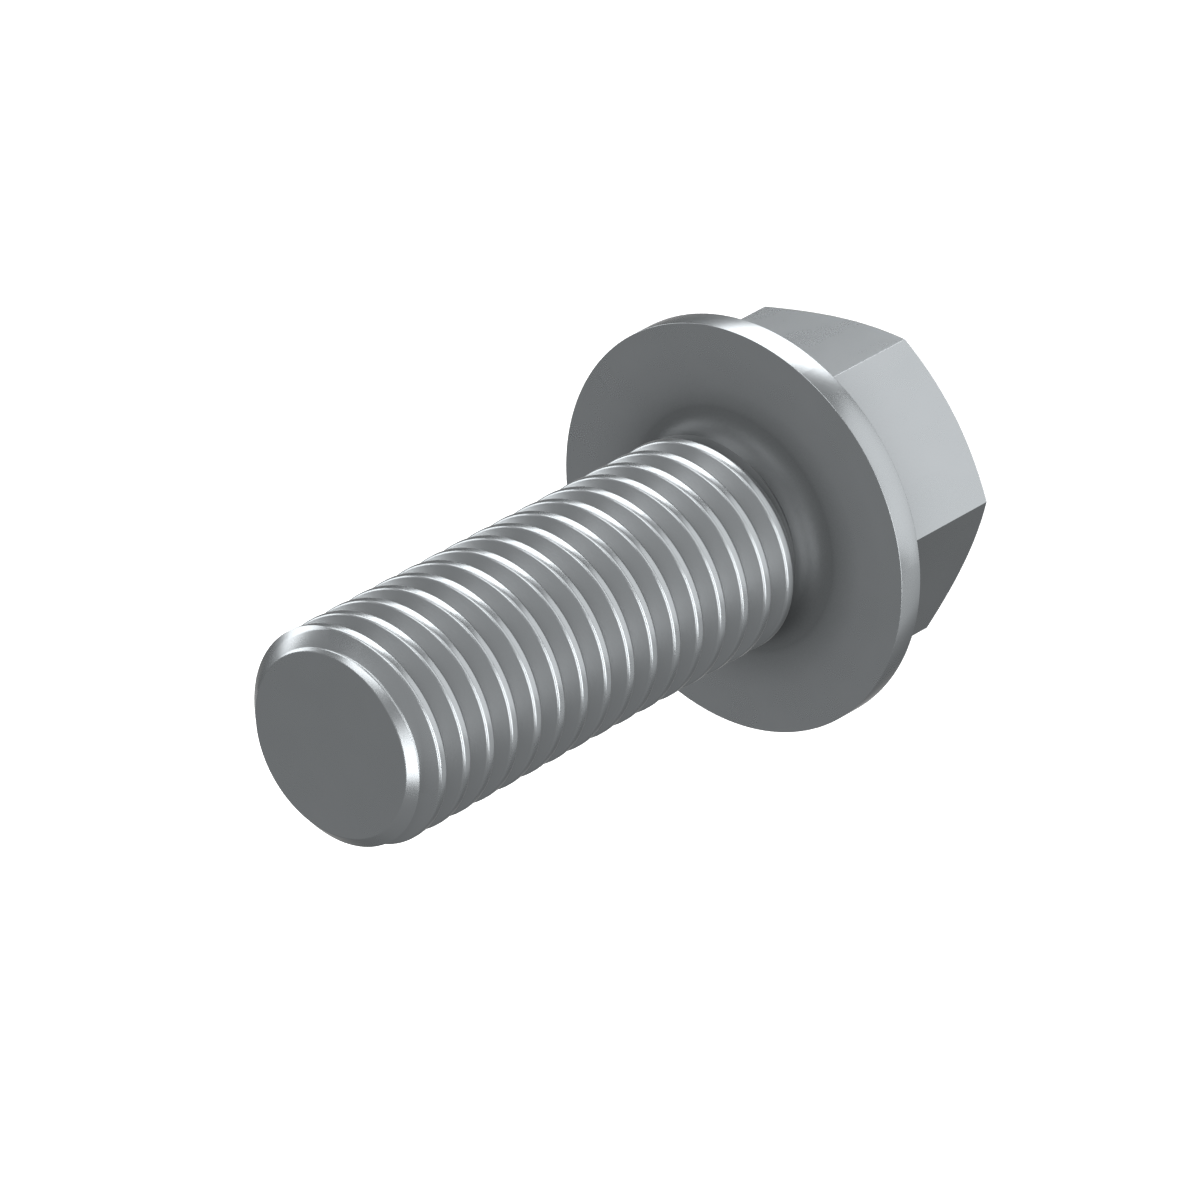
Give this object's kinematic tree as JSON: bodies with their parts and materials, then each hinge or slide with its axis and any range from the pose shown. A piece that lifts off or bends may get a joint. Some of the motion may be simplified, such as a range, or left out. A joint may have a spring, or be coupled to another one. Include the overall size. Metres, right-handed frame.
{
  "type": "flange bolt",
  "caption": "Hexagon bolt with a flange forged under its head, a smooth bearing face, a relieved neck and a coarse right-hand thread up to its chamfered point.",
  "frame": {"origin": "centre of the bearing face under the flange, on the bolt's axis", "axes": "+Z along the bolt's axis towards the thread's point, so the bolt stands on its head; +X through a corner of the hexagon"},
  "size_m": [0.0188, 0.0188, 0.0347],
  "materials": {
    "steel": "smooth satin zinc-plated steel"
  },
  "bodies": {
    "root": {"flange_bolt": "steel"}
  },
  "joints": []
}
